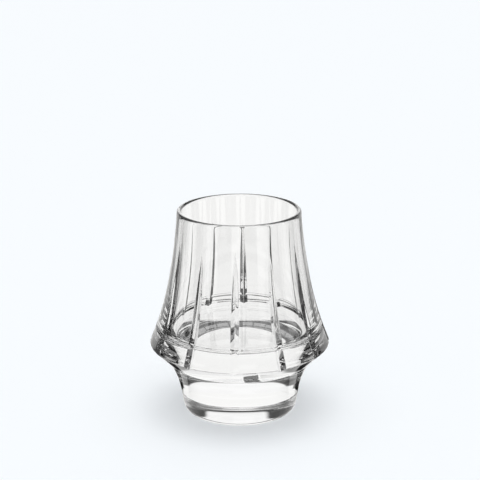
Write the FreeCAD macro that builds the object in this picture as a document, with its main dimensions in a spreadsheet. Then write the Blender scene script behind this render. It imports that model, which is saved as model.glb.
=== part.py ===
"""A cut-crystal bar glass: a bell-shaped bowl with a heavy solid bottom, fused to a waisted foot.

Both pieces are solids of revolution about +Z. The bowl flares from its mouth down to a sharp
shoulder and turns under to the joint disc. The foot starts at the joint disc, narrows through a
waist and stands on a flat, polished base. Twelve mitre cuts and one ring cut dress the bowl.

The origin is the centre of the base, on the surface that the glass stands on. Millimetres.
"""
import FreeCAD, Part
import math
import os

import Sketcher
from FreeCAD import Vector

SIZES = {
    # whole glass
    "overall_height": 100.0,
    # mouth, and the bell's tilt where it meets the lip
    "rim_radius": 29.4,
    "rim_wall": 2.1,
    "rim_tilt": 4.0,
    # shoulder, which is wider than the mouth by the flare, and the bell's tilt at its edge
    "bell_flare": 13.8,
    "shoulder_height": 34.6,
    "shoulder_edge_radius": 0.8,
    "shoulder_tilt": 22.4,
    # inside: glass between the shoulder's widest circle and the cavity's, the floor, and the
    # radius of the wall's hollow curve
    "floor_wall": 9.4,
    "floor_height": 39.0,
    "floor_corner_radius": 4.0,
    "inside_radius": 280.0,
    # foot, up to the joint disc, which is wider than the waist by the flare
    "waist_radius": 28.6,
    "waist_height": 9.5,
    "neck_flare": 6.5,
    "joint_height": 26.2,
    "foot_taper": 9.0,
    "base_edge_radius": 4.0,
    # ring cut round the bell, a half-round groove above the shoulder
    "ring_cut_rise": 8.8,
    "ring_cut_radius": 0.75,
    # mitre cuts down the bell, below a plain band under the mouth
    "mitre_count": 12,
    "mitre_depth": 1.8,
    "mitre_angle": 104.0,
    "mitre_plain_band": 13.0,
    "mitre_root_radius": 150.0,
    "mitre_clearance": 1.5,
}

# The shoulder's widest circle and the joint disc, as the sketches' expressions say them.
SHOULDER_RADIUS = "Sizes.rim_radius + Sizes.bell_flare"
JOINT_RADIUS = "Sizes.waist_radius + Sizes.neck_flare"

START, END, CENTRE = 1, 2, 3
ORIGIN, UPRIGHT = -1, -2

doc = FreeCAD.newDocument("mixing_glass")
sheet = doc.addObject("Spreadsheet::Sheet", "Sizes")
for row, (alias, value) in enumerate(SIZES.items(), start=1):
    sheet.set("A%d" % row, alias)
    sheet.set("B%d" % row, str(value))
    sheet.setAlias("B%d" % row, alias)
doc.recompute()


def size(alias):
    """The value of one cell of the sheet."""
    return float(sheet.get(alias))


def shoulder_radius():
    """The radius of the bowl's widest circle."""
    return size("rim_radius") + size("bell_flare")


def joint_point():
    """The rim of the joint disc, where the bowl's undercut and the foot's neck meet."""
    return Vector(size("waist_radius") + size("neck_flare"), size("joint_height"), 0)


def origin_feature(body, role):
    """One of the planes or axes of a body's own origin."""
    return next(f for f in body.Origin.OriginFeatures if f.Role == role)


def polar(centre, radius, angle):
    """The point at a radius and an angle in degrees round a centre."""
    turn = math.radians(angle)
    return centre + Vector(radius * math.cos(turn), radius * math.sin(turn), 0)


class Outline:
    """A sketch on one of a body's own planes, with its sizes bound to the sheet."""

    def __init__(self, body, name, role="XZ_Plane"):
        self.sketch = body.newObject("Sketcher::SketchObject", name)
        self.sketch.AttachmentSupport = (origin_feature(body, role), [""])
        self.sketch.MapMode = "FlatFace"

    def line(self, start, end, construction=False):
        return self.sketch.addGeometry(Part.LineSegment(start, end), construction)

    def arc(self, centre, radius, first, last, construction=False):
        """An arc that runs anticlockwise between two angles in degrees."""
        circle = Part.Circle(centre, Vector(0, 0, 1), radius)
        curve = Part.ArcOfCircle(circle, math.radians(first), math.radians(last))
        return self.sketch.addGeometry(curve, construction)

    def point(self, place):
        return self.sketch.addGeometry(Part.Point(place), True)

    def tie(self, kind, *targets):
        """A constraint with no size of its own."""
        return self.sketch.addConstraint(Sketcher.Constraint(kind, *targets))

    def bind(self, kind, *targets, to):
        """A constraint whose size is an expression on the sheet."""
        index = self.tie(kind, *targets)
        self.sketch.setExpression("Constraints[%d]" % index, to)

    def place(self, geometry, end, across, up):
        """Fix a point's distance from the axis and its height."""
        place = self.sketch.getPoint(geometry, end)
        self.bind("DistanceX", ORIGIN, 1, geometry, end, place.x, to=across)
        self.bind("DistanceY", ORIGIN, 1, geometry, end, place.y, to=up)

    def level(self, geometry, end, up):
        """Fix a point's height only."""
        place = self.sketch.getPoint(geometry, end)
        self.bind("DistanceY", ORIGIN, 1, geometry, end, place.y, to=up)

    def report(self, kind, geometry, end, name):
        """A named reference size, which other sketches read."""
        place = self.sketch.getPoint(geometry, end)
        value = place.x if kind == "DistanceX" else place.y
        index = self.tie(kind, ORIGIN, 1, geometry, end, value)
        self.sketch.setDriving(index, False)
        self.sketch.renameConstraint(index, name)


def revolve(body, sketch, name):
    """Turn a closed outline once round +Z."""
    feature = body.newObject("PartDesign::Revolution", name)
    feature.Profile = sketch
    feature.ReferenceAxis = (sketch, ["V_Axis"])
    feature.Angle = 360
    sketch.Visibility = False
    doc.recompute()
    return feature


def upright(tilt):
    """The unit vector that runs down a wall whose radius grows as it goes down."""
    return Vector(math.sin(math.radians(tilt)), -math.cos(math.radians(tilt)), 0)


def tilt_towards(start, end):
    """The angle in degrees, above the horizontal, of the line from one point to another."""
    return math.degrees(math.atan2(end.y - start.y, end.x - start.x))


def outer_meeting(upper, upper_reach, lower, lower_reach):
    """The point at its own reach from each of two points, on the side away from the axis."""
    span = lower - upper
    along = (upper_reach ** 2 - lower_reach ** 2 + span.dot(span)) / (2 * span.Length)
    aside = math.sqrt(upper_reach ** 2 - along ** 2)
    forward = span * (1 / span.Length)
    return upper + forward * along + Vector(-forward.y, forward.x, 0) * aside


def bell_curve(mouth, foot):
    """Two arcs between two points with the rim's and the shoulder's tilt, with equal end tangents.

    Returns the tilt where the arcs meet, the meeting point, both radii and the two tangents' corners.
    """
    down, out = upright(size("rim_tilt")), upright(size("shoulder_tilt"))
    span, ends = foot - mouth, down + out
    # The tangents' length solves |span - length * ends| = 2 * length.
    square = ends.dot(ends) - 4
    half = span.dot(ends)
    length = span.dot(span) / (half + math.sqrt(half ** 2 - square * span.dot(span)))
    middle = (span - ends * length) * (0.5 / length)
    meet = math.degrees(math.atan2(middle.x, -middle.y))
    upper_corner = mouth + down * length
    lower_corner = foot - out * length
    upper = length / math.tan(math.radians(meet - size("rim_tilt")) / 2)
    lower = length / math.tan(math.radians(size("shoulder_tilt") - meet) / 2)
    return meet, (upper_corner + lower_corner) * 0.5, upper, lower, upper_corner, lower_corner


def bell_outline(body):
    """The bowl's section, with the mitre's root line and the ring's seat drawn on it."""
    outline = Outline(body, "bell_section")
    tilt, spread = size("rim_tilt"), size("shoulder_tilt")
    lip = size("rim_wall") / 2
    lip_centre = Vector(size("rim_radius") - lip, size("overall_height") - lip, 0)
    mouth = polar(lip_centre, lip, tilt)
    edge = size("shoulder_edge_radius")
    edge_centre = Vector(shoulder_radius() - edge, size("shoulder_height"), 0)
    meet, meet_point, upper, lower, upper_corner, lower_corner = bell_curve(
        mouth, polar(edge_centre, edge, spread)
    )
    upper_centre = polar(mouth, upper, tilt)
    lower_centre = polar(edge_centre, edge + lower, spread)

    # The undercut runs straight from the joint disc and touches the shoulder's edge.
    seat = joint_point()
    reach = edge_centre - seat
    under = math.degrees(math.atan2(reach.y, reach.x) - math.asin(edge / reach.Length))
    under_point = polar(edge_centre, edge, under - 90)

    # The inside runs in one hollow curve from the lip to the floor's corner and touches both.
    corner = size("floor_corner_radius")
    floor = size("floor_height")
    corner_centre = Vector(
        shoulder_radius() - size("floor_wall") - corner, floor + corner, 0
    )
    hollow = size("inside_radius")
    hollow_centre = outer_meeting(lip_centre, hollow - lip, corner_centre, hollow + corner)
    top_tilt = tilt_towards(lip_centre, hollow_centre)
    floor_tilt = tilt_towards(corner_centre, hollow_centre)

    disc = outline.line(Vector(0, seat.y, 0), seat)
    undercut = outline.line(seat, under_point)
    shoulder = outline.arc(edge_centre, edge, under - 90, spread)
    lower_bell = outline.arc(lower_centre, lower, 180 + meet, 180 + spread)
    upper_bell = outline.arc(upper_centre, upper, 180 + tilt, 180 + meet)
    rim = outline.arc(lip_centre, lip, tilt, 180 + top_tilt)
    inside = outline.arc(hollow_centre, hollow, 180 + top_tilt, 180 + floor_tilt)
    turn = outline.arc(corner_centre, corner, -90, floor_tilt)
    bottom = outline.line(Vector(corner_centre.x, floor, 0), Vector(0, floor, 0))
    axis = outline.line(Vector(0, floor, 0), Vector(0, seat.y, 0))
    above = outline.line(mouth, upper_corner, True)
    inward = outline.line(upper_corner, meet_point, True)
    outward = outline.line(meet_point, lower_corner, True)
    below = outline.line(lower_corner, polar(edge_centre, edge, spread), True)

    outline.tie("Coincident", axis, END, disc, START)
    outline.tie("Coincident", disc, END, undercut, START)
    outline.tie("Tangent", undercut, END, shoulder, START)
    outline.tie("Tangent", shoulder, END, lower_bell, END)
    outline.tie("Tangent", lower_bell, START, upper_bell, END)
    outline.tie("Tangent", upper_bell, START, rim, START)
    outline.tie("Tangent", rim, END, inside, START)
    outline.tie("Tangent", inside, END, turn, END)
    outline.tie("Tangent", turn, START, bottom, START)
    outline.tie("Coincident", bottom, END, axis, START)
    outline.tie("Horizontal", disc)
    outline.tie("Horizontal", bottom)
    outline.tie("Vertical", axis)
    outline.tie("PointOnObject", axis, END, UPRIGHT)

    # The bell's end tangents have the two tilts and one length, and their corners join through
    # the arcs' meeting point.
    outline.tie("Tangent", above, START, upper_bell, START)
    outline.tie("Tangent", below, END, lower_bell, END)
    outline.tie("Tangent", inward, END, upper_bell, END)
    outline.tie("Tangent", outward, START, lower_bell, START)
    outline.tie("Coincident", above, END, inward, START)
    outline.tie("Coincident", outward, END, below, START)
    outline.tie("Equal", above, below)
    outline.bind("Angle", above, math.radians(tilt - 90), to="Sizes.rim_tilt * 1 deg - 90 deg")
    outline.bind(
        "Angle", below, math.radians(spread - 90), to="Sizes.shoulder_tilt * 1 deg - 90 deg"
    )

    outline.place(disc, END, JOINT_RADIUS, "Sizes.joint_height")
    outline.place(
        shoulder, CENTRE,
        SHOULDER_RADIUS + " - Sizes.shoulder_edge_radius", "Sizes.shoulder_height",
    )
    outline.place(
        rim, CENTRE,
        "Sizes.rim_radius - Sizes.rim_wall / 2", "Sizes.overall_height - Sizes.rim_wall / 2",
    )
    outline.place(
        turn, CENTRE,
        SHOULDER_RADIUS + " - Sizes.floor_wall - Sizes.floor_corner_radius",
        "Sizes.floor_height + Sizes.floor_corner_radius",
    )
    outline.bind("Radius", shoulder, edge, to="Sizes.shoulder_edge_radius")
    outline.bind("Radius", rim, lip, to="Sizes.rim_wall / 2")
    outline.bind("Radius", turn, corner, to="Sizes.floor_corner_radius")
    outline.bind("Radius", inside, hollow, to="Sizes.inside_radius")

    # The mitre's root: an arc from the bell's face at the run-out to its full depth at the shoulder.
    run_out = size("overall_height") - size("mitre_plain_band")
    top_turn = math.asin((upper_centre.y - run_out) / upper)
    top = polar(upper_centre, -upper, math.degrees(top_turn))
    deep = Vector(shoulder_radius() - size("mitre_depth"), size("shoulder_height"), 0)
    chord = top - deep
    root = size("mitre_root_radius")
    sideways = Vector(chord.y, -chord.x, 0).normalize()
    rise = math.sqrt(root ** 2 - (chord.Length / 2) ** 2)
    wheel = (top + deep) * 0.5 + sideways * rise
    first = math.degrees(math.atan2(top.y - wheel.y, top.x - wheel.x))
    last = math.degrees(math.atan2(deep.y - wheel.y, deep.x - wheel.x))
    root_line = outline.arc(wheel, root, first, last, True)
    outline.tie("PointOnObject", root_line, START, upper_bell)
    outline.level(root_line, START, "Sizes.overall_height - Sizes.mitre_plain_band")
    outline.place(
        root_line, END, SHOULDER_RADIUS + " - Sizes.mitre_depth", "Sizes.shoulder_height"
    )
    outline.bind("Radius", root_line, root, to="Sizes.mitre_root_radius")
    outline.report("DistanceX", root_line, CENTRE, "wheel_axis_radius")
    outline.report("DistanceY", root_line, CENTRE, "wheel_axis_height")

    # The ring's seat: the point of the bell's face at the ring's height.
    ring_height = size("shoulder_height") + size("ring_cut_rise")
    ring_turn = math.asin((lower_centre.y - ring_height) / lower)
    ring_seat = outline.point(polar(lower_centre, -lower, math.degrees(ring_turn)))
    outline.tie("PointOnObject", ring_seat, START, lower_bell)
    outline.level(ring_seat, START, "Sizes.shoulder_height + Sizes.ring_cut_rise")
    outline.report("DistanceX", ring_seat, START, "ring_seat_radius")
    doc.recompute()
    return outline.sketch


def ring_cut(body, section):
    """A half-round groove, turned round the bell with its centre on the bell's face."""
    outline = Outline(body, "ring_section")
    seat = section.getDatum("ring_seat_radius").Value
    height = size("shoulder_height") + size("ring_cut_rise")
    circle = Part.Circle(Vector(seat, height, 0), Vector(0, 0, 1), size("ring_cut_radius"))
    ring = outline.sketch.addGeometry(circle)
    outline.place(
        ring, CENTRE,
        "bell_section.Constraints.ring_seat_radius", "Sizes.shoulder_height + Sizes.ring_cut_rise",
    )
    outline.bind("Radius", ring, circle.Radius, to="Sizes.ring_cut_radius")
    return groove(body, outline.sketch, "ring_cut", "V_Axis", 360)


def mitre_cuts(body, section):
    """V cuts made by a mitre wheel: its rim turned about the wheel's axis, then repeated round +Z."""
    outline = Outline(body, "wheel_rim", "XY_Plane")
    sketch = outline.sketch
    sketch.AttachmentOffset = FreeCAD.Placement(
        Vector(
            0,
            -section.getDatum("wheel_axis_radius").Value,
            section.getDatum("wheel_axis_height").Value,
        ),
        FreeCAD.Rotation(),
    )
    sketch.setExpression("AttachmentOffset.Base.y", "-bell_section.Constraints.wheel_axis_radius")
    sketch.setExpression("AttachmentOffset.Base.z", "bell_section.Constraints.wheel_axis_height")
    root = size("mitre_root_radius")
    depth = size("mitre_depth") + size("mitre_clearance")
    half = depth * math.tan(math.radians(size("mitre_angle") / 2))
    tip = Vector(0, root, 0)
    left = Vector(-half, root - depth, 0)
    right = Vector(half, root - depth, 0)
    side = outline.line(tip, left)
    back = outline.line(left, right)
    other = outline.line(right, tip)
    outline.tie("Coincident", side, END, back, START)
    outline.tie("Coincident", back, END, other, START)
    outline.tie("Coincident", other, END, side, START)
    outline.tie("Symmetric", back, START, back, END, UPRIGHT)
    outline.tie("PointOnObject", side, START, UPRIGHT)
    outline.level(side, START, "Sizes.mitre_root_radius")
    outline.bind(
        "DistanceY", back, START, side, START, depth, to="Sizes.mitre_depth + Sizes.mitre_clearance"
    )
    outline.bind(
        "DistanceX", back, START, back, END, 2 * half,
        to="2 * (Sizes.mitre_depth + Sizes.mitre_clearance) * tan(Sizes.mitre_angle * 1 deg / 2)",
    )
    first = groove(body, sketch, "mitre_cut", "H_Axis", 90)
    pattern = body.newObject("PartDesign::PolarPattern", "mitre_cuts")
    pattern.Originals = [first]
    pattern.Axis = (origin_feature(body, "Z_Axis"), [""])
    pattern.Angle = 360
    pattern.Occurrences = int(size("mitre_count"))
    pattern.setExpression("Occurrences", "Sizes.mitre_count")
    body.Tip = pattern
    doc.recompute()
    return pattern


def groove(body, sketch, name, axis, angle):
    """Cut a turned groove, equally to both sides of its sketch, and prove that it took glass away."""
    before = body.Shape.Volume
    feature = body.newObject("PartDesign::Groove", name)
    feature.Profile = sketch
    feature.ReferenceAxis = (sketch, [axis])
    feature.Angle = angle
    feature.Midplane = True
    sketch.Visibility = False
    doc.recompute()
    if body.Shape.Volume >= before:
        raise RuntimeError("%s cut nothing" % name)
    return feature


def make_bowl():
    """The bell, its solid bottom and its cuts."""
    body = doc.addObject("PartDesign::Body", "bowl")
    body.Label = "cut_bowl"
    section = bell_outline(body)
    revolve(body, section, "bell")
    ring_cut(body, section)
    mitre_cuts(body, section)
    return body


def make_foot():
    """The waisted foot, from its flat base up to the joint disc."""
    body = doc.addObject("PartDesign::Body", "stand")
    body.Label = "foot"
    outline = Outline(body, "foot_section")
    taper = size("foot_taper")
    edge = size("base_edge_radius")
    waist = Vector(size("waist_radius"), size("waist_height"), 0)
    slope = Vector(math.sin(math.radians(taper)), math.cos(math.radians(taper)), 0)
    normal = polar(Vector(), 1, -taper)
    # The base edge's centre is its own radius above the base and inside the tapered side.
    edge_centre = Vector(0, edge, 0)
    edge_centre.x = (waist.dot(normal) - edge - edge * normal.y) / normal.x
    side_foot = edge_centre + normal * edge
    seat = joint_point()
    gap = seat - waist
    neck = gap.dot(gap) / (2 * gap.dot(normal))
    neck_centre = waist + normal * neck
    flare = math.degrees(math.atan2(seat.y - neck_centre.y, seat.x - neck_centre.x))

    base = outline.line(Vector(), Vector(edge_centre.x, 0, 0))
    base_edge = outline.arc(edge_centre, edge, -90, -taper)
    side = outline.line(side_foot, waist)
    waist_arc = outline.arc(neck_centre, neck, flare, 180 - taper)
    disc = outline.line(seat, Vector(0, seat.y, 0))
    axis = outline.line(Vector(0, seat.y, 0), Vector())

    outline.tie("Coincident", base, START, ORIGIN, 1)
    outline.tie("Horizontal", base)
    outline.tie("Tangent", base, END, base_edge, START)
    outline.tie("Tangent", base_edge, END, side, START)
    outline.tie("Tangent", side, END, waist_arc, END)
    outline.tie("Coincident", waist_arc, START, disc, START)
    outline.tie("Horizontal", disc)
    outline.tie("Coincident", disc, END, axis, START)
    outline.tie("Coincident", axis, END, base, START)
    outline.tie("Vertical", axis)
    outline.place(disc, START, JOINT_RADIUS, "Sizes.joint_height")
    outline.place(side, END, "Sizes.waist_radius", "Sizes.waist_height")
    outline.bind("Radius", base_edge, edge, to="Sizes.base_edge_radius")
    turn = math.atan2(slope.y, slope.x)
    outline.bind("Angle", side, turn, to="90 deg - Sizes.foot_taper * 1 deg")
    doc.recompute()
    revolve(body, outline.sketch, "foot_turned")
    return body


def check(pieces):
    """Stop if any object failed, or if a piece isn't one valid, closed solid."""
    for item in doc.Objects:
        if "Invalid" in item.State or "Error" in item.State:
            raise RuntimeError("%s failed: %s" % (item.Name, item.State))
    for piece in pieces:
        shape = piece.Shape
        if shape.isNull() or not shape.isValid() or len(shape.Solids) != 1:
            raise RuntimeError("%s isn't one valid solid" % piece.Label)


pieces = [make_bowl(), make_foot()]
doc.recompute()
check(pieces)
os.makedirs("parts", exist_ok=True)
for piece in pieces:
    piece.Shape.exportStep("parts/%s.step" % piece.Label)
    print(piece.Label, "%.1f mm3" % piece.Shape.Volume, piece.Shape.BoundBox)
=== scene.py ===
"""The looks of a cut-crystal bar glass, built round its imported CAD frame.

The bowl and the foot are turned sections with the CAD's own sizes. The mitre cuts are pressed into
the bowl's mesh where a mitre wheel would cut, so that their edges and roots are edges of the mesh.
Sizes of the glass are in millimetres until a mesh is made; everything in Blender is in metres.
"""
import logging
import math
from dataclasses import dataclass, field
from enum import Enum
from typing import Any, Iterable, Optional, Union

import bmesh
import bpy
from mathutils import Matrix, Vector


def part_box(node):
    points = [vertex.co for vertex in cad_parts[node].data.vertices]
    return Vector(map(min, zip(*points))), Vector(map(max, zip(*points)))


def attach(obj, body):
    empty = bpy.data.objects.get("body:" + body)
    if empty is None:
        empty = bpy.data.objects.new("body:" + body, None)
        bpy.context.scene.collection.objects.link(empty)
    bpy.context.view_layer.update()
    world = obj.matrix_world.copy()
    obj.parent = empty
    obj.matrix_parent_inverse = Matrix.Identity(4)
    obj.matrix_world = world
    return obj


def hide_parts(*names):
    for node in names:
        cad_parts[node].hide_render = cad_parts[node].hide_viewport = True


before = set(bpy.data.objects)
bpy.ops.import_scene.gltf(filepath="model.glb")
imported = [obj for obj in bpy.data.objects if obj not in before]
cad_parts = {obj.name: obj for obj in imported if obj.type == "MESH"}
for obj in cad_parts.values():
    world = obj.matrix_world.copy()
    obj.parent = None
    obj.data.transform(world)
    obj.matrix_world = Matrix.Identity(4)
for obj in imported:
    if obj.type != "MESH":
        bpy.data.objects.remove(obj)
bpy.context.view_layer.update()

MM = 0.001
LOG = logging.getLogger("mixing_glass")
Number = Union[float, "Socket"]

DISC_STEPS = 4  # rows of faces across the joint disc
LIP_STEPS = 14  # rows of faces round the lip
CREASE = 34.0  # the angle above which an edge shades sharp, in degrees
WELD = 0.002  # how near two vertices are merged, in mm


# ---------------------------------------------------------------------------------------------
# Shader maths
# ---------------------------------------------------------------------------------------------


class Socket:
    """One output socket of a node tree, with Python's operators as Math nodes."""

    def __init__(self, nodes: "Nodes", socket: bpy.types.NodeSocket) -> None:
        """Wrap a socket.

        Args:
            nodes: The builder of the tree that the socket is in.
            socket: The output socket.
        """
        self.nodes = nodes
        self.socket = socket

    def _maths(self, operation: str, first: Number, second: Number) -> "Socket":
        """Add one Math node.

        Args:
            operation: The Math node's operation.
            first: Its first value.
            second: Its second value.

        Returns:
            The node's result.
        """
        return self.nodes.add("ShaderNodeMath", {"operation": operation}, {0: first, 1: second})

    def __add__(self, other: Number) -> "Socket":
        """Add a number or a socket."""
        return self._maths("ADD", self, other)

    def __radd__(self, other: Number) -> "Socket":
        """Add to a number."""
        return self._maths("ADD", other, self)

    def __sub__(self, other: Number) -> "Socket":
        """Subtract a number or a socket."""
        return self._maths("SUBTRACT", self, other)

    def __rsub__(self, other: Number) -> "Socket":
        """Subtract from a number."""
        return self._maths("SUBTRACT", other, self)

    def __mul__(self, other: Number) -> "Socket":
        """Multiply by a number or a socket."""
        return self._maths("MULTIPLY", self, other)

    def __rmul__(self, other: Number) -> "Socket":
        """Multiply a number."""
        return self._maths("MULTIPLY", other, self)

    def __or__(self, other: Number) -> "Socket":
        """Take the greater of two masks."""
        return self._maths("MAXIMUM", self, other)

    def __gt__(self, other: Number) -> "Socket":
        """Compare with a number or a socket: 1 where this is greater."""
        return self._maths("GREATER_THAN", self, other)

    def cosine(self) -> "Socket":
        """The cosine of an angle in radians."""
        return self._maths("COSINE", self, 0.0)


class Nodes:
    """A node tree that is written from nothing."""

    def __init__(self, tree: bpy.types.NodeTree) -> None:
        """Empty the tree.

        Args:
            tree: The material's or the world's node tree.
        """
        self.tree = tree
        tree.nodes.clear()

    def add(
        self,
        kind: str,
        settings: Optional[dict[str, Any]] = None,
        inputs: Optional[dict[Union[int, str], Any]] = None,
        output: Union[int, str] = 0,
    ) -> Socket:
        """Add a node.

        Args:
            kind: The node's type.
            settings: Its properties, which are set first.
            inputs: Values or links of its sockets.
            output: The output socket to return.

        Returns:
            The output socket, wrapped.
        """
        node = self.tree.nodes.new(kind)
        for name, value in (settings or {}).items():
            setattr(node, name, value)
        for name, value in (inputs or {}).items():
            if isinstance(value, Socket):
                self.tree.links.new(value.socket, node.inputs[name])
            else:
                node.inputs[name].default_value = value
        outputs = node.outputs
        return Socket(self, outputs[output]) if len(outputs) else Socket(self, None)

    def part(self, vector: Socket, axis: str) -> Socket:
        """One part of a vector: X, Y or Z."""
        return self.add("ShaderNodeSeparateXYZ", inputs={0: vector}, output=axis)

    def step(self, value: Socket, low: float, high: float) -> Socket:
        """A smooth step from 0 at low to 1 at high.

        Args:
            value: What is stepped.
            low: Where the step starts.
            high: Where it ends.

        Returns:
            The step.
        """
        settings = {"interpolation_type": "SMOOTHSTEP"}
        return self.add("ShaderNodeMapRange", settings, {0: value, 1: low, 2: high})


# ---------------------------------------------------------------------------------------------
# Finishes
# ---------------------------------------------------------------------------------------------


@dataclass(frozen=True)
class Crystal:
    """Clear crystal: smooth glass with the faint unevenness that a hand-made surface keeps.

    Attributes:
        name: The material's name.
        ior: Index of refraction.
        roughness: How dull the surface is.
        wave: Height of the unevenness, in metres.
        wave_size: Its length, in metres.
        mark: Height of the wheel marks across a cut, in metres.
        mark_size: Their spacing, in metres.
        mark_stretch: The noise's scale on each axis, which draws the marks out sideways.
    """

    name: str
    ior: float = 1.53
    roughness: float = 0.0
    wave: float = 0.00002
    wave_size: float = 0.018
    mark: float = 0.0
    mark_size: float = 0.0012
    mark_stretch: tuple[float, float, float] = (0.35, 0.35, 1.0)

    def make(self) -> bpy.types.Material:
        """Build the material.

        Returns:
            The material.
        """
        material = bpy.data.materials.new(self.name)
        material.use_nodes = True
        nodes = Nodes(material.node_tree)
        place = nodes.add("ShaderNodeTexCoord", output="Object")
        uneven = nodes.add(
            "ShaderNodeTexNoise",
            inputs={"Vector": place, "Scale": 1 / self.wave_size, "Detail": 1.0, "Roughness": 0.4},
        )
        height = uneven * (self.wave / MM)
        if self.mark:
            marks = nodes.add(
                "ShaderNodeTexNoise",
                inputs={
                    "Vector": nodes.add(
                        "ShaderNodeMapping",
                        inputs={"Vector": place, "Scale": self.mark_stretch},
                    ),
                    "Scale": 1 / self.mark_size,
                    "Detail": 2.0,
                    "Roughness": 0.6,
                },
            )
            height = height + marks * (self.mark / MM)
        normal = nodes.add(
            "ShaderNodeBump", inputs={"Height": height, "Strength": 1.0, "Distance": MM}
        )
        glass = nodes.add(
            "ShaderNodeBsdfPrincipled",
            inputs={
                "Base Color": (1.0, 1.0, 1.0, 1.0),
                "Roughness": self.roughness,
                "IOR": self.ior,
                "Transmission Weight": 1.0,
                "Normal": normal,
            },
        )
        nodes.add("ShaderNodeOutputMaterial", inputs={"Surface": glass})
        return material


@dataclass(frozen=True)
class FusedJoint:
    """The plane where two gathers melted into one: no surface is left to see."""

    name: str = "fused_joint"

    def make(self) -> bpy.types.Material:
        """Build the material.

        Returns:
            The material.
        """
        material = bpy.data.materials.new(self.name)
        material.use_nodes = True
        nodes = Nodes(material.node_tree)
        clear = nodes.add("ShaderNodeBsdfTransparent")
        nodes.add("ShaderNodeOutputMaterial", inputs={"Surface": clear})
        return material


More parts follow.
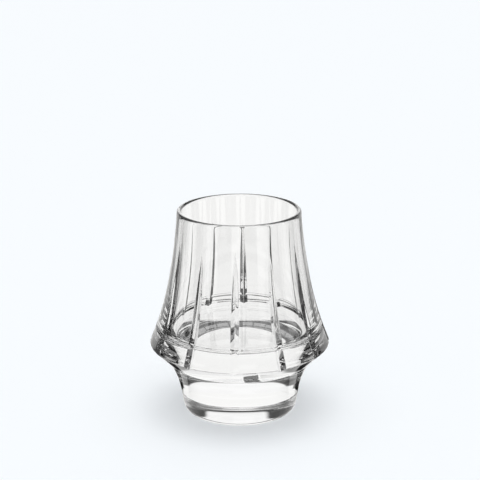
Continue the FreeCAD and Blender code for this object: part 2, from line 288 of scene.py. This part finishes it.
@dataclass(frozen=True)
class Surroundings:
    """What stands round the glass, which it shows where it bends the light.

    The paper, as the glass shows it, glows with painted light: a white patch close to the glass, a
    white sweep from the glass towards the card and white lanes running out all round, with painted
    shade everywhere else on it. A white card stands behind the glass and narrows towards its top,
    pale walls stand at the sides and in front, and a softbox hangs overhead. All else in the room
    is dark, as in a black studio.

    Attributes:
        card_half_angle: Half the card's width at the floor, in degrees seen from the glass.
        card_top_half_angle: Half its width at its top edge.
        card_top: The card's top edge, in degrees above the floor.
        sweep_half_angle: Half the width of the paper's painted glowing sweep from the glass to the
            card.
        lane_count: How many painted glowing lanes there are on the paper.
        end_half_angle: Half the width of the sweep where it rises to the horizon.
        lane_half_angle: Half a lane's width, in degrees.
        horizon_top: How far up the sweep's far end reaches, in degrees.
        wall_half_angle: Where the room's pale walls start, in degrees from straight behind.
        wall: Brightness of the walls.
        softbox_rise: The softbox's middle, in degrees above the floor in front.
        softbox_half_angle: Half the softbox's width, in degrees.
        near: Radius of the painted white glow on the paper round the glass, in metres.
        near_offset: How far the middle of that painted glow lies in front of the glass, in metres.
        near_soft: Half the width of its soft edge, in metres.
        free_turns: How many times a ray may turn at the glass before it loses light.
        kept_each_turn: What part of the light is kept at each further turn.
        kept_least: What part is kept after any number of turns.
        blur: Width of the soft edges, in degrees.
        white: Brightness of the white parts, also of the painted glow on the paper.
        softbox: Brightness of the softbox.
        dark: Brightness of all else, also of the painted shade on the paper.
    """

    card_half_angle: float = 45.0
    card_top_half_angle: float = 24.0
    card_top: float = 26.0
    sweep_half_angle: float = 36.0
    lane_count: int = 8
    end_half_angle: float = 52.0
    lane_half_angle: float = 10.0
    horizon_top: float = 8.0
    wall_half_angle: float = 75.0
    wall: float = 0.2
    softbox_rise: float = 82.0
    softbox_half_angle: float = 50.0
    near: float = 0.038
    near_offset: float = 0.007
    near_soft: float = 0.0038
    free_turns: int = 6
    kept_each_turn: float = 0.45
    kept_least: float = 0.12
    blur: float = 4.0
    white: float = 0.97
    softbox: float = 0.95
    dark: float = 0.004

    def sines(self, angle: float) -> tuple[float, float]:
        """The sines of a soft edge's two ends."""
        low, high = math.radians(angle - self.blur / 2), math.radians(angle + self.blur / 2)
        return math.sin(low), math.sin(high)

    def cosines(self, angle: float) -> tuple[float, float]:
        """The cosines of a soft edge's two ends, the lesser first."""
        low, high = math.radians(angle - self.blur / 2), math.radians(angle + self.blur / 2)
        return math.cos(high), math.cos(low)

    def ahead(self, nodes: Nodes, turn: Socket, half_angle: float) -> Socket:
        """Where the angle round the glass is within a half-angle from straight behind it."""
        return nodes.step(turn.cosine(), *self.cosines(half_angle))

    def lanes(self, nodes: Nodes, turn: Socket) -> Socket:
        """Where the even painted glowing lanes on the paper are, by the angle round the glass."""
        edge = math.radians(self.lane_count * self.lane_half_angle)
        soft = math.radians(self.lane_count * self.blur / 4)
        wave = (turn * self.lane_count).cosine()
        return nodes.step(wave, math.cos(edge + soft), math.cos(edge - soft))

    def turn(self, nodes: Nodes, place: Socket) -> Socket:
        """The angle round the glass of a place or a direction, in radians."""
        return nodes.add(
            "ShaderNodeMath",
            {"operation": "ARCTAN2"},
            {0: nodes.part(place, "X"), 1: nodes.part(place, "Y")},
        )

    def kept(self, nodes: Nodes) -> Socket:
        """How much light is left after many turns inside the glass."""
        turns = nodes.add("ShaderNodeLightPath", output="Ray Depth") - self.free_turns
        power = nodes.add(
            "ShaderNodeMath", {"operation": "POWER"}, {0: self.kept_each_turn, 1: turns | 0.0}
        )
        return power | self.kept_least

    def room(self, nodes: Nodes, way: Socket) -> Socket:
        """The room's brightness in a direction."""
        turn, rise = self.turn(nodes, way), nodes.part(way, "Z")
        narrower = math.cos(math.radians(self.card_top_half_angle)) - math.cos(
            math.radians(self.card_half_angle)
        )
        slant = rise * (narrower / math.sin(math.radians(self.card_top)))
        card = nodes.step(turn.cosine() - slant, *self.cosines(self.card_half_angle))
        card = card * (1 - nodes.step(rise, *self.sines(self.card_top)))
        ends = self.ahead(nodes, turn, self.end_half_angle)
        ends = ends * (1 - nodes.step(rise, *self.sines(self.horizon_top)))
        middle = math.radians(self.softbox_rise)
        towards = nodes.add(
            "ShaderNodeVectorMath",
            {"operation": "DOT_PRODUCT"},
            {0: way, 1: (0.0, -math.cos(middle), math.sin(middle))},
            output="Value",
        )
        softbox = nodes.step(towards, *self.cosines(self.softbox_half_angle)) * self.softbox
        walls = (1 - self.ahead(nodes, turn, self.wall_half_angle)) * self.wall
        bright = (card | ends | walls) * (self.white - self.dark) + self.dark
        bright = bright | softbox
        return bright * self.kept(nodes)

    def painted_paper_glow(self, nodes: Nodes, place: Socket) -> Socket:
        """The paper's painted glow and painted shade at a place, as the glass shows it."""
        turn = self.turn(nodes, place)
        flat = nodes.add(
            "ShaderNodeVectorMath",
            {"operation": "MULTIPLY_ADD"},
            {0: place, 1: (1.0, 1.0, 0.0), 2: (0.0, self.near_offset, 0.0)},
        )
        reach = nodes.add(
            "ShaderNodeVectorMath", {"operation": "LENGTH"}, {0: flat}, output="Value"
        )
        # Painted light on the paper: white near the glass, in the sweep and in the lanes; painted
        # shade elsewhere.
        near = 1 - nodes.step(reach, self.near - self.near_soft, self.near + self.near_soft)
        sweep = self.ahead(nodes, turn, self.sweep_half_angle)
        bright = sweep | self.lanes(nodes, turn) | near
        return (bright * (self.white - self.dark) + self.dark) * self.kept(nodes)


@dataclass(frozen=True)
class Paper:
    """The studio's seamless white paper, which is lit from below as well as from above."""

    surroundings: Surroundings
    name: str = "seamless_paper"
    colour: tuple[float, float, float] = (0.905, 0.937, 0.965)
    tint: tuple[float, float, float, float] = (1.0, 1.0, 0.99, 1.0)
    glow: float = 0.45
    roughness: float = 0.9

    def make(self) -> bpy.types.Material:
        """Build the material.

        Returns:
            The material.
        """
        material = bpy.data.materials.new(self.name)
        material.use_nodes = True
        nodes = Nodes(material.node_tree)
        sheet = nodes.add(
            "ShaderNodeBsdfPrincipled",
            inputs={
                "Base Color": (*(part * (1 - self.glow) for part in self.colour), 1.0),
                "Roughness": self.roughness,
                "Specular IOR Level": 0.1,
                "Emission Color": (*self.colour, 1.0),
                "Emission Strength": self.glow,
            },
        )
        # Painted light: where the glass bends or mirrors the paper, the paper glows with a painted
        # pattern of light and shade instead of being lit.
        place = nodes.add("ShaderNodeTexCoord", output="Object")
        glow = nodes.add(
            "ShaderNodeEmission",
            inputs={"Color": self.tint, "Strength": self.surroundings.painted_paper_glow(nodes, place)},
        )
        path = "ShaderNodeLightPath"
        bent = nodes.add(path, output="Transmission Depth") > 0.5
        mirrored = nodes.add(path, output="Is Glossy Ray")
        both = nodes.add(
            "ShaderNodeMixShader", inputs={0: bent | mirrored, 1: sheet, 2: glow}
        )
        nodes.add("ShaderNodeOutputMaterial", inputs={"Surface": both})
        return material


# ---------------------------------------------------------------------------------------------
# Sections
# ---------------------------------------------------------------------------------------------


def polar(centre: Vector, radius: float, angle: float) -> Vector:
    """The point at a radius and an angle in degrees round a centre, in a section's plane."""
    turn = math.radians(angle)
    return centre + Vector((radius * math.cos(turn), radius * math.sin(turn)))


def meeting(first: Vector, first_reach: float, second: Vector, second_reach: float) -> Vector:
    """The point at a reach from each of two points, on the outer side of the line between them."""
    span = second - first
    along = (first_reach**2 - second_reach**2 + span.dot(span)) / (2 * span.length)
    side = Vector((-span.y, span.x)).normalized()
    return first + span.normalized() * along + side * math.sqrt(first_reach**2 - along**2)


@dataclass
class Section:
    """Half of a turned piece's outline: points as (distance from the axis, height), in mm."""

    points: list[Vector] = field(default_factory=list)

    def line(self, end: Vector, steps: int) -> None:
        """Draw a straight run from the last point.

        Args:
            end: Where it ends.
            steps: How many points it adds.
        """
        start = self.points[-1]
        for step in range(1, steps + 1):
            self.points.append(start.lerp(end, step / steps))

    def arc(self, centre: Vector, radius: float, first: float, last: float, steps: int) -> None:
        """Draw an arc whose first point is where the outline has come to.

        Args:
            centre: The arc's centre.
            radius: Its radius.
            first: Its first angle, in degrees.
            last: Its last angle.
            steps: How many points it adds.
        """
        for step in range(1, steps + 1):
            self.points.append(polar(centre, radius, first + (last - first) * step / steps))


@dataclass(frozen=True)
class BellCurve:
    """The bell's outside: two tangent arcs from the lip's side to the shoulder's edge.

    Attributes:
        mouth: Where the bell leaves the lip.
        foot: Where it meets the shoulder's edge.
        rim_tilt: The wall's tilt from upright at the lip, in degrees.
        shoulder_tilt: Its tilt at the shoulder.
    """

    mouth: Vector
    foot: Vector
    rim_tilt: float
    shoulder_tilt: float

    def _down(self, tilt: float) -> Vector:
        """The unit vector that runs down a wall of that tilt."""
        return Vector((math.sin(math.radians(tilt)), -math.cos(math.radians(tilt))))

    def arcs(self) -> tuple[float, float, Vector, float, Vector]:
        """Solve the two arcs, whose end tangents have equal lengths.

        Returns:
            The tilt where they meet, the upper radius and centre, the lower radius and centre.
        """
        down, out = self._down(self.rim_tilt), self._down(self.shoulder_tilt)
        span, ends = self.foot - self.mouth, down + out
        square, half = ends.dot(ends) - 4, span.dot(ends)
        length = span.dot(span) / (half + math.sqrt(half**2 - square * span.dot(span)))
        middle = span - ends * length
        meet = math.degrees(math.atan2(middle.x, -middle.y))
        upper = length / math.tan(math.radians(meet - self.rim_tilt) / 2)
        lower = length / math.tan(math.radians(self.shoulder_tilt - meet) / 2)
        upper_centre = polar(self.mouth, upper, self.rim_tilt)
        lower_centre = polar(self.foot, lower, self.shoulder_tilt)
        return meet, upper, upper_centre, lower, lower_centre


@dataclass(frozen=True)
class MitreWheel:
    """A V-edged wheel that cuts a groove down the bell.

    Attributes:
        root: Radius of the wheel's sharp edge, in mm.
        axis_radius: Distance of the wheel's axis from the glass's axis, in mm.
        axis_height: Height of the wheel's axis, in mm.
        angle: The V's whole angle, in degrees.
        soft: How far the polish has rounded the cut's edges, in mm.
    """

    root: float
    axis_radius: float
    axis_height: float
    angle: float
    soft: float

    def face(self, across: float, height: float) -> float:
        """The cut face's distance from the glass's axis plane.

        Args:
            across: Sideways distance from the cut's middle, in mm.
            height: Height, in mm.

        Returns:
            The distance, in mm, measured along the cut's own direction from the axis.
        """
        rounded = math.sqrt(across**2 + (self.soft / 2) ** 2) - self.soft / 2
        reach = self.root - rounded / math.tan(math.radians(self.angle / 2))
        return self.axis_radius - math.sqrt(reach**2 - (self.axis_height - height) ** 2)

    def half_width(self, radius: float, height: float) -> float:
        """Half the cut's width where it meets a turned surface.

        Args:
            radius: The surface's radius at that height, in mm.
            height: Height, in mm.

        Returns:
            The half width, in mm, or 0 where the wheel doesn't reach the surface.
        """
        if self.face(0.0, height) >= radius:
            return 0.0
        low, high = 0.0, radius / 4
        for _ in range(40):
            middle = (low + high) / 2
            if self.face(middle, height) < math.sqrt(radius**2 - middle**2):
                low = middle
            else:
                high = middle
        return low


def smooth_least(first: float, second: float, soft: float) -> float:
    """The lesser of two numbers, rounded where they are nearly equal."""
    share = min(1.0, max(0.0, 0.5 + 0.5 * (second - first) / soft))
    return second + (first - second) * share - soft * share * (1 - share)


def ramp(value: float, low: float, high: float) -> float:
    """A smooth step from 0 at low to 1 at high."""
    share = min(1.0, max(0.0, (value - low) / (high - low)))
    return share * share * (3 - 2 * share)


# ---------------------------------------------------------------------------------------------
# The glass
# ---------------------------------------------------------------------------------------------


def spin_section(section: Section, steps: int) -> bmesh.types.BMesh:
    """Turn a section once round +Z.

    Args:
        section: The outline, from the axis to the axis.
        steps: How many columns of faces go round.

    Returns:
        The mesh, in metres, with a vertex layer "row" that counts the section's points.
    """
    mesh = bmesh.new()
    row = mesh.verts.layers.int.new("row")
    chain = []
    for index, point in enumerate(section.points):
        vertex = mesh.verts.new((point.x * MM, 0.0, point.y * MM))
        vertex[row] = index
        chain.append(vertex)
    edges = [mesh.edges.new(pair) for pair in zip(chain, chain[1:])]
    bmesh.ops.spin(
        mesh, geom=chain + edges, cent=(0, 0, 0), axis=(0, 0, 1), dvec=(0, 0, 0),
        angle=math.tau, steps=steps, use_merge=True, use_duplicate=False,
    )
    return mesh


def true_turned_normals(data: bpy.types.Mesh) -> None:
    """Point the normals of a turned surface's uneven columns straight away from the axis.

    Args:
        data: The mesh, whose vertex attribute "turned" marks the vertices.
    """
    turned = data.attributes.get("turned")
    if turned is None:
        return
    normals = []
    for vertex, mark in zip(data.vertices, turned.data):
        flat = Vector(vertex.co.xy)
        if mark.value and flat.length > MM:
            flat.normalize()
            level = Vector(vertex.normal.xy).dot(flat)
            normals.append(Vector((flat.x * level, flat.y * level, vertex.normal.z)).normalized())
        else:
            normals.append((0.0, 0.0, 0.0))
    data.normals_split_custom_set_from_vertices(normals)


def finish_mesh(
    mesh: bmesh.types.BMesh, name: str, materials: Iterable[bpy.types.Material]
) -> bpy.types.Object:
    """Close a turned mesh, shade it and make it an object.

    Args:
        mesh: The mesh, which is freed.
        name: The object's name.
        materials: Its materials, in the order of its faces' indices.

    Returns:
        The object, at the origin.
    """
    bmesh.ops.remove_doubles(mesh, verts=mesh.verts, dist=WELD * MM)
    bmesh.ops.recalc_face_normals(mesh, faces=mesh.faces)
    for face in mesh.faces:
        face.smooth = True
    data = bpy.data.meshes.new(name)
    mesh.to_mesh(data)
    mesh.free()
    for material in materials:
        data.materials.append(material)
    data.set_sharp_from_angle(angle=math.radians(CREASE))
    true_turned_normals(data)
    piece = bpy.data.objects.new(name, data)
    bpy.context.scene.collection.objects.link(piece)
    return piece


class Face(Enum):
    """The finishes of a glass piece's faces, by material index."""

    POLISHED = 0
    JOINT = 1
    MITRE = 2


@dataclass
class Bowl:
    """The bell, its lip, shoulder and solid bottom, with twelve mitre cuts and a ring cut.

    Attributes:
        height: The lip's height, in mm.
        joint_radius: The joint disc's radius, in mm.
        joint_height: The joint disc's height, in mm.
        undercut_split: Where the undercut's rows get closer, as a part of its length.
        spread_start: How far over the joint the cuts' columns start to draw together, in mm.
        spread_end: How far under the shoulder they have drawn together, in mm.
        ring_sharp: How far from the ring cut the turned surface starts, in ring cut radii.
        half_columns: How many columns stand in half of a cut's sector.
        cut_columns: How many of them belong to the cut and its edge.
    """

    height: float
    joint_radius: float
    joint_height: float
    rim_radius: float = 29.4
    rim_wall: float = 2.1
    rim_tilt: float = 4.0
    bell_flare: float = 13.8
    shoulder_height: float = 34.6
    shoulder_edge_radius: float = 0.8
    shoulder_tilt: float = 22.4
    floor_wall: float = 9.4
    floor_height: float = 39.0
    floor_corner_radius: float = 4.0
    inside_radius: float = 280.0
    ring_cut_rise: float = 8.8
    ring_cut_radius: float = 0.75
    mitre_count: int = 12
    mitre_depth: float = 1.8
    mitre_angle: float = 104.0
    mitre_plain_band: float = 13.0
    mitre_root_radius: float = 150.0
    mitre_soft: float = 0.12
    undercut_split: float = 0.6
    spread_start: float = 2.0
    spread_end: float = 2.5
    ring_sharp: float = 1.5
    half_columns: int = 16
    cut_columns: int = 8

    def curve(self) -> BellCurve:
        """The bell's outside curve."""
        lip = self.rim_wall / 2
        lip_centre = Vector((self.rim_radius - lip, self.height - lip))
        edge = self.shoulder_edge_radius
        edge_centre = Vector((self.rim_radius + self.bell_flare - edge, self.shoulder_height))
        return BellCurve(
            polar(lip_centre, lip, self.rim_tilt), polar(edge_centre, edge, self.shoulder_tilt),
            self.rim_tilt, self.shoulder_tilt,
        )

    def wheel(self) -> MitreWheel:
        """The mitre wheel, placed by the run-out under the mouth and its depth at the shoulder."""
        _, upper, upper_centre, _, _ = self.curve().arcs()
        run_out = self.height - self.mitre_plain_band
        turn = math.degrees(math.asin((upper_centre.y - run_out) / upper))
        top = polar(upper_centre, -upper, turn)
        deep = Vector(
            (self.rim_radius + self.bell_flare - self.mitre_depth, self.shoulder_height)
        )
        chord = top - deep
        rise = math.sqrt(self.mitre_root_radius**2 - (chord.length / 2) ** 2)
        centre = (top + deep) / 2 + Vector((chord.y, -chord.x)).normalized() * rise
        return MitreWheel(
            self.mitre_root_radius, centre.x, centre.y, self.mitre_angle, self.mitre_soft
        )

    def section(self) -> Section:
        """The bowl's outline, from the joint disc's middle round to the floor's middle."""
        lip, edge = self.rim_wall / 2, self.shoulder_edge_radius
        corner = self.floor_corner_radius
        shoulder = self.rim_radius + self.bell_flare
        lip_centre = Vector((self.rim_radius - lip, self.height - lip))
        edge_centre = Vector((shoulder - edge, self.shoulder_height))
        seat = Vector((self.joint_radius, self.joint_height))
        reach = edge_centre - seat
        under = math.degrees(math.atan2(reach.y, reach.x) - math.asin(edge / reach.length))
        meet, upper, upper_centre, lower, lower_centre = self.curve().arcs()
        corner_centre = Vector((shoulder - self.floor_wall - corner, self.floor_height + corner))
        inside = self.inside_radius
        inside_centre = meeting(lip_centre, inside - lip, corner_centre, inside + corner)
        top_tilt, floor_tilt = (
            math.degrees(math.atan2(inside_centre.y - end.y, inside_centre.x - end.x))
            for end in (lip_centre, corner_centre)
        )
        ring_height = self.shoulder_height + self.ring_cut_rise
        ring = self.ring_cut_radius
        ring_turn = math.degrees(math.asin((lower_centre.y - ring_height) / lower))
        ring_seat = polar(lower_centre, -lower, ring_turn)
        ring_span = math.degrees(ring / lower)

        outline = Section([Vector((0.0, self.joint_height))])
        outline.line(seat, DISC_STEPS)
        undercut = polar(edge_centre, edge, under - 90)
        outline.line(seat.lerp(undercut, self.undercut_split), 8)
        outline.line(undercut, 12)
        outline.arc(edge_centre, edge, under - 90, self.shoulder_tilt, 6)
        low, high = 180 + ring_turn + ring_span, 180 + ring_turn - ring_span
        outline.arc(lower_centre, lower, 180 + self.shoulder_tilt, low, 10)
        outline.arc(ring_seat, ring, ring_turn - 90, ring_turn - 270, 12)
        outline.arc(lower_centre, lower, high, 180 + meet, 22)
        outline.arc(upper_centre, upper, 180 + meet, 180 + self.rim_tilt, 32)
        outline.arc(lip_centre, lip, self.rim_tilt, 180 + top_tilt, LIP_STEPS)
        outline.arc(inside_centre, inside, 180 + top_tilt, 180 + floor_tilt, 30)
        outline.arc(corner_centre, corner, floor_tilt, -90, 10)
        outline.line(Vector((0.0, self.floor_height)), 10)
        return outline

    def columns(self, half_width: float) -> list[float]:
        """Where the columns of one half of a cut stand, from its root out past its edge.

        Args:
            half_width: Half the cut's width at this height, in mm.

        Returns:
            Sideways distances, in mm.
        """
        width = max(half_width, self.mitre_soft)
        soft = self.mitre_soft * min(1.0, width / (6 * self.mitre_soft))
        return [
            0.0, soft, 2 * soft, width / 2, width - 2 * soft, width - soft,
            width, width + soft, width + 2 * soft,
        ]

    def press_cuts(self, mesh: bmesh.types.BMesh, section: Section) -> None:
        """Move the mesh's columns to the cuts' edges and roots, and press the cuts in.

        Args:
            mesh: The turned bowl.
            section: The outline that it was turned from.
        """
        row = mesh.verts.layers.int["row"]
        mitre = mesh.verts.layers.int.new("mitre")
        turned = mesh.verts.layers.int.new("turned")
        wheel = self.wheel()
        sector = math.tau / self.mitre_count
        step = sector / (2 * self.half_columns)
        lip_height = self.height - self.rim_wall
        run_out = self.height - self.mitre_plain_band
        ring_height = self.shoulder_height + self.ring_cut_rise
        outer_rows = range(DISC_STEPS, self.outer_end(section) + 1)
        widths = {
            index: wheel.half_width(section.points[index].x, section.points[index].y)
            for index in outer_rows
        }
        for vertex in mesh.verts:
            index = vertex[row]
            if index not in widths:
                continue
            radius, height = section.points[index]
            column = round(math.atan2(vertex.co.y, vertex.co.x) / step)
            middle = round(column / (2 * self.half_columns))
            offset = column - middle * 2 * self.half_columns
            width = widths[index]
            places = self.columns(width)
            edge_turn = math.asin(places[-1] / radius)
            share = abs(offset) / self.half_columns
            if abs(offset) <= self.cut_columns:
                across = places[abs(offset)]
                turn = math.asin(across / radius)
            else:
                plain = (abs(offset) - self.cut_columns) / (self.half_columns - self.cut_columns)
                turn = edge_turn + (sector / 2 - edge_turn) * plain
            # Above the run-out and under the shoulder the columns spread evenly again.
            spread = max(
                ramp(height, run_out, lip_height),
                1 - ramp(height, self.joint_height + self.spread_start,
                         self.shoulder_height - self.spread_end),
            )
            turn += (share * sector / 2 - turn) * spread
            across = radius * math.sin(turn)
            along = radius * math.cos(turn)
            if width > 0:
                along = smooth_least(along, wheel.face(across, height), self.mitre_soft)
            side = math.copysign(1.0, offset)
            angle = middle * sector
            vertex.co.x = (along * math.cos(angle) - side * across * math.sin(angle)) * MM
            vertex.co.y = (along * math.sin(angle) + side * across * math.cos(angle)) * MM
            inside_cut = abs(offset) <= self.cut_columns - 2
            vertex[mitre] = int(inside_cut and width > 2 * self.mitre_soft)
            sharp = abs(height - ring_height) < self.ring_sharp * self.ring_cut_radius
            vertex[turned] = int(
                (width == 0 or abs(offset) >= self.cut_columns) and not sharp
                and height > self.shoulder_height
            )

    def outer_end(self, section: Section) -> int:
        """The index of the outline's last point on the bell's outside, below half the lip."""
        top = max(range(len(section.points)), key=lambda index: section.points[index].y)
        return top - LIP_STEPS // 2

    def build(self, finishes: list[bpy.types.Material]) -> bpy.types.Object:
        """Make the bowl.

        Args:
            finishes: One material for each of Face.

        Returns:
            The bowl, with its materials.
        """
        section = self.section()
        mesh = spin_section(section, self.mitre_count * 2 * self.half_columns)
        self.press_cuts(mesh, section)
        row = mesh.verts.layers.int["row"]
        mitre = mesh.verts.layers.int["mitre"]
        for face in mesh.faces:
            if all(vertex[row] <= DISC_STEPS for vertex in face.verts):
                face.material_index = Face.JOINT.value
            elif all(vertex[mitre] for vertex in face.verts):
                face.material_index = Face.MITRE.value
        piece = finish_mesh(mesh, "cut_bowl_glass", finishes)
        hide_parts("cut_bowl")
        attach(piece, "root")
        return piece


@dataclass
class Foot:
    """The waisted foot with its rounded base edge and flat base.

    Attributes:
        joint_radius: The joint disc's radius, in mm.
        joint_height: The joint disc's height, in mm.
    """

    joint_radius: float
    joint_height: float
    waist_radius: float = 28.6
    waist_height: float = 9.5
    taper: float = 9.0
    base_edge_radius: float = 4.0
    columns: int = 288

    def section(self) -> Section:
        """The foot's outline, from the base's middle round to the joint disc's middle."""
        edge = self.base_edge_radius
        waist = Vector((self.waist_radius, self.waist_height))
        normal = polar(Vector((0.0, 0.0)), 1.0, -self.taper)
        edge_centre = Vector(((waist.dot(normal) - edge - edge * normal.y) / normal.x, edge))
        seat = Vector((self.joint_radius, self.joint_height))
        gap = seat - waist
        neck = gap.dot(gap) / (2 * gap.dot(normal))
        neck_centre = waist + normal * neck
        flare = math.degrees(math.atan2(seat.y - neck_centre.y, seat.x - neck_centre.x))
        outline = Section([Vector((0.0, 0.0))])
        outline.line(Vector((edge_centre.x, 0.0)), 8)
        outline.arc(edge_centre, edge, -90, -self.taper, 14)
        outline.line(waist, 6)
        outline.arc(neck_centre, neck, 180 - self.taper, flare, 24)
        outline.line(Vector((0.0, self.joint_height)), DISC_STEPS)
        return outline

    def build(self, finishes: list[bpy.types.Material]) -> bpy.types.Object:
        """Make the foot.

        Args:
            finishes: One material for each of Face.

        Returns:
            The foot, with its materials.
        """
        section = self.section()
        mesh = spin_section(section, self.columns)
        row = mesh.verts.layers.int["row"]
        disc = len(section.points) - 1 - DISC_STEPS
        for face in mesh.faces:
            if all(vertex[row] >= disc for vertex in face.verts):
                face.material_index = Face.JOINT.value
        piece = finish_mesh(mesh, "foot_glass", finishes)
        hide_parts("foot")
        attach(piece, "root")
        return piece


# ---------------------------------------------------------------------------------------------
# The studio
# ---------------------------------------------------------------------------------------------


@dataclass
class Studio:
    """White paper, soft light and the camera.

    Attributes:
        span: The glass's height, in metres.
        distance: From the middle of the glass to the camera, in metres.
        elevation: The camera's height over the glass's middle, in degrees.
        azimuth: How far the camera stands to the right of straight in front, in degrees.
        pitch: How far the camera looks down, in degrees.
        roll: How far it leans, in degrees.
        lens: Focal length, in mm.
        shift_x: Sideways shift of the view, in view widths.
        floor_drop: How far the paper lies under the base, in metres.
        surroundings: What the glass shows.
        tint: The light's colour on the paper.
        sky: Brightness of the room's even light.
        overhead: Brightness of the light over the glass.
        overhead_low: Where that light starts, in degrees above the floor.
        sensor: The sensor's width, in mm.
        nearest: The nearest distance that the camera shows, in metres.
        farthest: The farthest.
        floor_radius: The paper's radius, in metres.
        floor_sides: How many sides its circle has.
        bounces: How many times light may turn on its way.
    """

    span: float
    distance: float = 0.62713
    elevation: float = 19.74
    azimuth: float = 3.5
    pitch: float = 16.70
    roll: float = -0.3
    lens: float = 97.5
    shift_x: float = 0.0017
    floor_drop: float = 0.0002
    surroundings: Surroundings = Surroundings()
    tint: tuple[float, float, float, float] = (0.93, 0.957, 0.984, 1.0)
    sky: float = 0.3
    overhead: float = 3.4
    overhead_low: float = 60.0
    sensor: float = 36.0
    nearest: float = 0.01
    farthest: float = 20.0
    floor_radius: float = 3.0
    floor_sides: int = 96
    bounces: int = 32

    def camera(self) -> bpy.types.Object:
        """Make the camera and set it as the scene's own."""
        data = bpy.data.cameras.new("camera")
        data.lens = self.lens
        data.sensor_width = self.sensor
        data.shift_x = self.shift_x
        data.clip_start, data.clip_end = self.nearest, self.farthest
        camera = bpy.data.objects.new("camera", data)
        turn, rise = math.radians(self.azimuth), math.radians(self.elevation)
        back = Vector(
            (math.sin(turn) * math.cos(rise), -math.cos(turn) * math.cos(rise), math.sin(rise))
        )
        camera.location = Vector((0, 0, self.span / 2)) + back * self.distance
        look = (
            Matrix.Rotation(turn, 4, "Z")
            @ Matrix.Rotation(math.radians(90 - self.pitch), 4, "X")
            @ Matrix.Rotation(math.radians(self.roll), 4, "Z")
        )
        camera.rotation_euler = look.to_euler()
        bpy.context.scene.collection.objects.link(camera)
        bpy.context.scene.camera = camera
        return camera

    def floor(self) -> bpy.types.Object:
        """Lay the paper, a hair below the base so that the two never share a plane."""
        mesh = bmesh.new()
        bmesh.ops.create_circle(
            mesh, cap_ends=True, segments=self.floor_sides, radius=self.floor_radius
        )
        data = bpy.data.meshes.new("paper_floor")
        mesh.to_mesh(data)
        mesh.free()
        data.transform(Matrix.Translation((0, 0, -self.floor_drop)))
        data.materials.append(Paper(self.surroundings).make())
        floor = bpy.data.objects.new("paper_floor", data)
        bpy.context.scene.collection.objects.link(floor)
        return floor

    def world(self) -> None:
        """Hang the light: even white for the eye, and for the glass what stands round it."""
        world = bpy.data.worlds.new("room")
        world.use_nodes = True
        nodes = Nodes(world.node_tree)
        way = nodes.add("ShaderNodeTexCoord", output="Generated")
        path = "ShaderNodeLightPath"
        seen = nodes.add(path, output="Is Camera Ray")
        lit = nodes.add(path, output="Diffuse Depth") > 0.5
        softbox = nodes.step(nodes.part(way, "Z"), *self.surroundings.sines(self.overhead_low))
        shown = self.surroundings.room(nodes, way)
        shown = shown + (self.sky + softbox * self.overhead - shown) * lit
        shown = shown + (1 - shown) * seen
        colour = nodes.add(
            "ShaderNodeMix",
            {"data_type": "RGBA"},
            {0: seen, 6: (1.0, 1.0, 1.0, 1.0), 7: self.tint},
            output=2,
        )
        light = nodes.add("ShaderNodeBackground", inputs={"Color": colour, "Strength": shown})
        nodes.add("ShaderNodeOutputWorld", inputs={"Surface": light})
        bpy.context.scene.world = world

    def light_paths(self) -> None:
        """Let light pass through as many faces as the thick glass bends it through."""
        cycles = bpy.context.scene.cycles
        cycles.max_bounces = self.bounces
        cycles.transmission_bounces = self.bounces
        cycles.transparent_max_bounces = self.bounces
        cycles.glossy_bounces = self.bounces // 2
        bpy.context.scene.view_settings.view_transform = "Standard"

    def build(self) -> None:
        """Make everything that isn't the glass."""
        self.floor()
        self.world()
        self.light_paths()
        self.camera()


def main() -> None:
    """Build the glass and the studio in order."""
    logging.basicConfig(level=logging.INFO, format="%(message)s")
    finishes = [
        Crystal("polished_crystal").make(),
        FusedJoint().make(),
        Crystal("mitre_cut_crystal", mark=0.00001).make(),
    ]
    foot_low, foot_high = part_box("foot")
    _, bowl_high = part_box("cut_bowl")
    joint_radius = (foot_high.x - foot_low.x) / 2 / MM
    joint_height = foot_high.z / MM
    bowl = Bowl(bowl_high.z / MM, joint_radius, joint_height).build(finishes)
    LOG.info("bowl: %d faces", len(bowl.data.polygons))
    foot = Foot(joint_radius, joint_height).build(finishes[:2])
    LOG.info("foot: %d faces", len(foot.data.polygons))
    Studio(bowl_high.z).build()
    LOG.info("studio: floor, room and camera")


if __name__ == "__main__":
    main()
